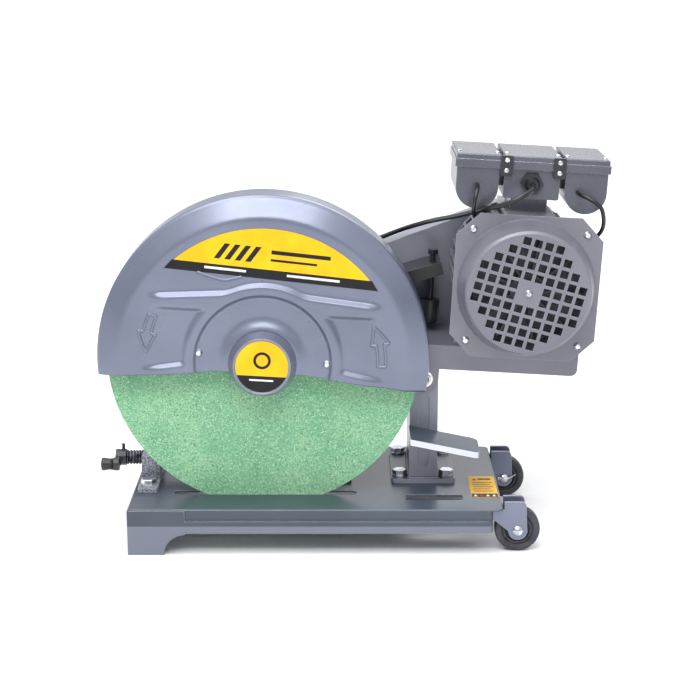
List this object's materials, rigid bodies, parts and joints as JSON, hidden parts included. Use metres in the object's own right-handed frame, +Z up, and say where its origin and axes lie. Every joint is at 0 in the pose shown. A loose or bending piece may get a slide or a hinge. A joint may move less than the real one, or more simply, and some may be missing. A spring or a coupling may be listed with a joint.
{
  "type": "abrasive chop saw",
  "caption": "Belt-driven abrasive cut-off saw: a pivoting head with motor and guarded grit wheel over a pressed tray with a screw vise.",
  "frame": {"origin": "on the floor, under the middle of the saw's outline", "axes": "+X to the right of the person who faces the wheel guard, +Y away from them, +Z up"},
  "size_m": [0.6561, 0.273, 0.5044],
  "materials": {
    "tray_enamel": "blue-grey enamel, satin",
    "post_enamel": "grey enamel, satin",
    "deflector_enamel": "blue-grey enamel, satin",
    "guard_enamel": "metallic grey enamel, semi-gloss",
    "motor_enamel": "grey enamel on castings, satin",
    "motor_alloy": "grey enamel on cast aluminium, satin",
    "box_enamel": "dark grey enamel, satin",
    "cast_iron": "rough sand casting, thin paint",
    "zinc": "bright zinc plate",
    "dark_steel": "oiled turned steel",
    "black_steel": "black enamel, semi-gloss",
    "bright_steel": "ground steel",
    "bronze": "sintered bronze",
    "abrasive": "green resin-bonded grit with glass mesh",
    "label_yellow": "yellow and black vinyl",
    "hub_paint": "grey enamel, semi-gloss",
    "black_plastic": "moulded black nylon",
    "black_rubber": "black rubber, slight sheen",
    "cord_jacket": "black cord jacket, glossy",
    "caster_tyre": "dark solid rubber",
    "caster_hub": "dark moulded nylon",
    "fan_plastic": "dark moulded nylon",
    "laminations": "varnished electrical steel",
    "can_alloy": "drawn aluminium can",
    "cover_enamel": "grey enamel, satin"
  },
  "bodies": {
    "base": {"base_tray": "tray_enamel", "post_bracket": "post_enamel", "base_bolts": "zinc", "base_washers": "zinc", "base_nuts": "zinc", "pivot_shaft": "bright_steel", "spark_deflector": "deflector_enamel", "caution_label": "label_yellow", "fixed_fence": "tray_enamel", "vise_bracket": "cast_iron", "caster_brackets": "guard_enamel", "caster_bolts": "zinc"},
    "jaw": {"moving_jaw": "cast_iron"},
    "crank_screw": {"vise_screw": "dark_steel", "vise_handle": "black_steel", "vise_knob": "black_plastic"},
    "front_caster": {"caster_hub_front": "caster_hub", "caster_tyre_front": "caster_tyre"},
    "rear_caster": {"caster_hub_rear": "caster_hub", "caster_tyre_rear": "caster_tyre"},
    "head": {"arm_channel": "motor_enamel", "pivot_bushes": "bronze", "spindle_housing": "cast_iron", "head_bolts": "zinc", "ball_bearings": "bright_steel", "guard_front": "guard_enamel", "guard_back": "guard_enamel", "guard_screws": "zinc", "hub_cap": "hub_paint", "guard_labels": "label_yellow", "belt_cover_plate": "cover_enamel", "belt_cover": "cover_enamel", "motor_housing": "motor_alloy", "end_shields": "motor_alloy", "stator_core": "laminations", "fan_cover": "motor_enamel", "cover_screws": "zinc", "drive_belt": "black_rubber", "terminal_box": "box_enamel", "capacitor_pods": "box_enamel", "capacitors": "can_alloy", "box_lids": "box_enamel", "cable_gland": "black_plastic", "switch_cable": "cord_jacket", "lead_left": "cord_jacket", "lead_right": "cord_jacket", "handle_tube": "black_steel", "handle_grip": "black_rubber", "switch_body": "black_plastic", "tension_bracket": "black_steel"},
    "spindle_set": {"spindle": "bright_steel", "clamp_flanges": "dark_steel", "abrasive_disc": "abrasive", "spindle_nut": "zinc", "spindle_pulley": "can_alloy"},
    "rotor_set": {"rotor": "laminations", "cooling_fan": "fan_plastic", "motor_pulley": "can_alloy"},
    "trigger": {"switch_trigger": "black_plastic"},
    "tensioner": {"tension_knob": "black_plastic"}
  },
  "joints": [
    {"name": "head_pivot", "type": "hinge", "parent": "base", "child": "head", "pos_m": [0.097, 0.031, 0.204], "axis": [0, 1, 0], "range_deg": [0, 38]},
    {"name": "spindle_spin", "type": "hinge", "parent": "head", "child": "spindle_set", "pos_m": [-0.11011, -0.065, 0.24362], "axis": [0, 1, 0], "continuous": true},
    {"name": "motor_spin", "type": "hinge", "parent": "head", "child": "rotor_set", "pos_m": [0.21969, 0, 0.33836], "axis": [0, 1, 0], "continuous": true},
    {"name": "trigger_pull", "type": "hinge", "parent": "head", "child": "trigger", "pos_m": [-0.17849, 0.02, 0.26148], "axis": [0, 1, 0], "range_deg": [0, 9], "stiffness_Nm_per_rad": 0.25, "springref_deg": -17.19},
    {"name": "tension_knob_turn", "type": "hinge", "parent": "head", "child": "tensioner", "pos_m": [0.10596, 0.056, 0.27461], "axis": [0.0558, 0, 0.9984], "continuous": true},
    {"name": "jaw_slide", "type": "slide", "parent": "base", "child": "jaw", "axis": [1, 0, 0], "range_m": [-0.15, 0.022]},
    {"name": "screw_turn", "type": "hinge", "parent": "jaw", "child": "crank_screw", "pos_m": [-0.288, 0.01, 0.084], "axis": [1, 0, 0], "range_deg": [-13500, 1980]},
    {"name": "front_caster_roll", "type": "hinge", "parent": "base", "child": "front_caster", "pos_m": [0.214, -0.111, 0.029], "axis": [0, 1, 0], "continuous": true},
    {"name": "rear_caster_roll", "type": "hinge", "parent": "base", "child": "rear_caster", "pos_m": [0.214, 0.096, 0.029], "axis": [0, 1, 0], "continuous": true}
  ],
  "couplings": [
    {"joint": "motor_spin", "follows": "spindle_spin", "ratio": 0.8},
    {"joint": "screw_turn", "follows": "jaw_slide", "rad_per_m": 1570.8}
  ]
}
